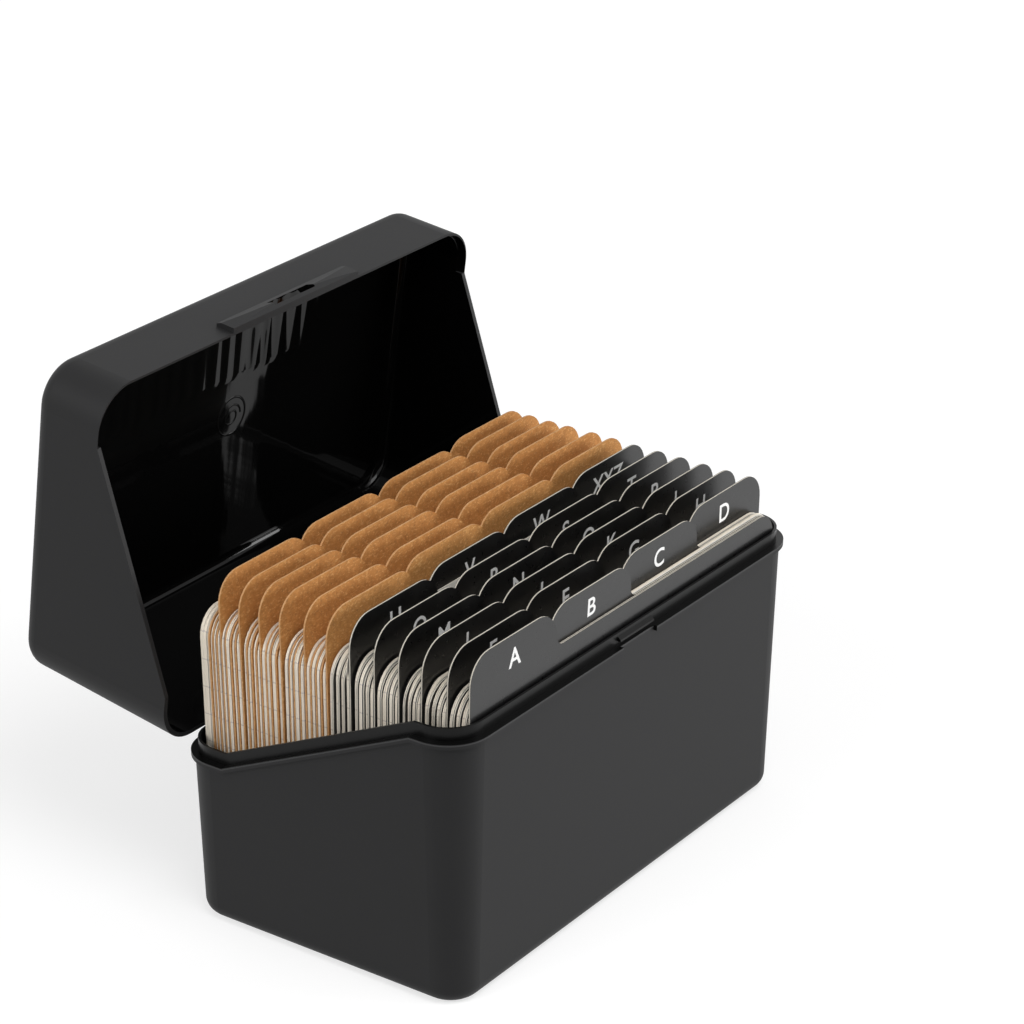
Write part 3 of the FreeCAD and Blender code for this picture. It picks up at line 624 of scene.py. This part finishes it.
def gate_mark(material):
    """The gate mark on the inside of the lid's roof: a low ring round a swirl."""
    outward = Vector((0, -math.sin(LID_OPEN), -math.cos(LID_OPEN)))
    up = Vector((0, -math.cos(LID_OPEN), math.sin(LID_OPEN)))
    faces = frame["nodes"]["lid"].data.polygons
    roof = max((p for p in faces if p.normal.y < -0.95), key=lambda p: p.area)
    centre = Vector(GATE)
    centre.y = roof.center.y - (centre.z - roof.center.z) * roof.normal.z / roof.normal.y
    ring = [(RING_RADIUS, 360.0 * i / RING_STEPS) for i in range(RING_STEPS)]
    swirl = [
        (SWIRL_RADIUS - SWIRL_CLOSES * i / SWIRL_STEPS, SWIRL_TURN * i / SWIRL_STEPS)
        for i in range(SWIRL_STEPS + 1)
    ]
    bm = bmesh.new()
    for track, (width, rise) in ((ring, RING_SECTION), (swirl, SWIRL_SECTION)):
        rows = []
        for radius, angle in track:
            a = math.radians(angle)
            spoke = Vector((math.cos(a), 0, 0)) + up * math.sin(a)
            row = []
            for k in range(SECTION_SIDES):
                b = 2 * math.pi * k / SECTION_SIDES
                high = outward * (rise * math.sin(b) - SUNK)
                across = spoke * (radius + width * math.cos(b))
                row.append(bm.verts.new(centre + (across + high) * MM))
            rows.append(row)
        pairs = list(zip(rows, rows[1:]))
        if track is ring:
            pairs.append((rows[-1], rows[0]))
        else:
            bm.faces.new(rows[0])
            bm.faces.new(rows[-1])
        for a, b in pairs:
            for k in range(SECTION_SIDES):
                n = (k + 1) % SECTION_SIDES
                bm.faces.new((a[k], a[n], b[n], b[k])).smooth = True
    bmesh.ops.recalc_face_normals(bm, faces=bm.faces)
    finished("gate_mark", bm, (material,), "lid")


# The studio: a white floor, broad soft lights and the photograph's camera

def seen_rays(tree):
    """1 for the rays that show the background: straight, mirrored or through glass."""
    path = node(tree, "ShaderNodeLightPath").outputs
    mirrored = maths(tree, "MAXIMUM", path["Is Glossy Ray"], path["Is Transmission Ray"])
    return maths(tree, "MAXIMUM", path["Is Camera Ray"], mirrored)


def floor():
    """A floor that takes the object's shadow, and whose own glow makes it white further out."""
    bm = bmesh.new()
    bmesh.ops.create_grid(bm, x_segments=1, y_segments=1, size=FLOOR_HALF)
    mesh = bpy.data.meshes.new("floor")
    bm.to_mesh(mesh)
    bm.free()
    obj = placed("floor", mesh)
    material, tree, shader = new_material("floor_white")
    shader.inputs["Base Color"].default_value = (FLOOR_TONE, FLOOR_TONE, FLOOR_TONE, 1)
    shader.inputs["Roughness"].default_value = 0.9
    shader.inputs["Emission Color"].default_value = (1, 1, 1, 1)
    away = vector_maths(tree, "LENGTH", coordinates(tree))
    glow = mapped(tree, away, *GLOW_REACH, *GLOW)
    put(tree, maths(tree, "MULTIPLY", seen_rays(tree), glow), shader.inputs["Emission Strength"])
    mesh.materials.append(material)


def softbox(name, place, size, watts):
    lamp = bpy.data.lights.new(name, "AREA")
    lamp.shape = "RECTANGLE"
    lamp.size, lamp.size_y = size
    lamp.energy = watts
    obj = placed(name, lamp)
    obj.location = place
    obj.rotation_euler = (Vector(LAMP_AIM) - Vector(place)).to_track_quat("-Z", "Y").to_euler()


def camera():
    yaw, pitch = math.radians(CAMERA_YAW), math.radians(CAMERA_PITCH)
    level = math.cos(pitch)
    back = Vector((math.sin(yaw) * level, -math.cos(yaw) * level, math.sin(pitch)))
    data = bpy.data.cameras.new("camera")
    data.lens = CAMERA_LENS
    data.sensor_width = 36.0
    data.clip_start = 0.05
    data.clip_end = 20.0
    obj = placed("camera", data)
    obj.location = Vector(CAMERA_TARGET) + back * CAMERA_DISTANCE
    obj.rotation_mode = "QUATERNION"
    obj.rotation_quaternion = (-back).to_track_quat("-Z", "Y")
    bpy.context.scene.camera = obj


def world():
    made = bpy.data.worlds.new("studio")
    bpy.context.scene.world = made
    made.use_nodes = True
    tree = made.node_tree
    sky = tree.nodes["Background"]
    sky.inputs["Color"].default_value = (1, 1, 1, 1)
    put(tree, mapped(tree, seen_rays(tree), 0.0, 1.0, WORLD_LIGHT, 1.0), sky.inputs["Strength"])


# The moulded parts keep their shapes and get their plastic
tub_plastic = plastic("tub_plastic", TUB_CENTRE, rim=RIM)
lid_plastic = plastic("lid_plastic", LID_CENTRE, flutes_from=FLUTES_FROM)
for name, material in (("tub", tub_plastic), ("lid", lid_plastic)):
    for slot in frame["nodes"][name].material_slots:
        slot.material = material
gate_mark(lid_plastic)

# The boards and cards, in the order in which they draw their random shifts
black = (black_board(), board_core())
brown = (
    kraft("kraft_face", (0.41, 0.17, 0.040, 1), (0.60, 0.27, 0.070, 1), (0.84, 0.50, 0.19, 1)),
    kraft("kraft_edge", (0.44, 0.22, 0.085, 1), (0.60, 0.33, 0.14, 1), (0.70, 0.46, 0.24, 1)),
)
white = (card_face(), card_edge())
white_ink = ink()
for i, text in enumerate(LETTERS):
    name = f"divider_{text}"
    place = i % TABS_IN_ROW
    stand, front, reach = board(name, place, black, BLACK_DRIFT, BOARD_COAT)
    letter(text.upper(), name, stand, front, reach, white_ink, place)
for i in range(KRAFT_BOARDS):
    board(f"divider_kraft_{i + 1:02d}", i % TABS_IN_ROW, brown, KRAFT_DRIFT)
for name in frame["nodes"]:
    if name.startswith("cards_"):
        card_group(name, white)

floor()
for lamp in LAMPS:
    softbox(*lamp)
world()
camera()
bpy.context.scene.view_settings.view_transform = "Standard"
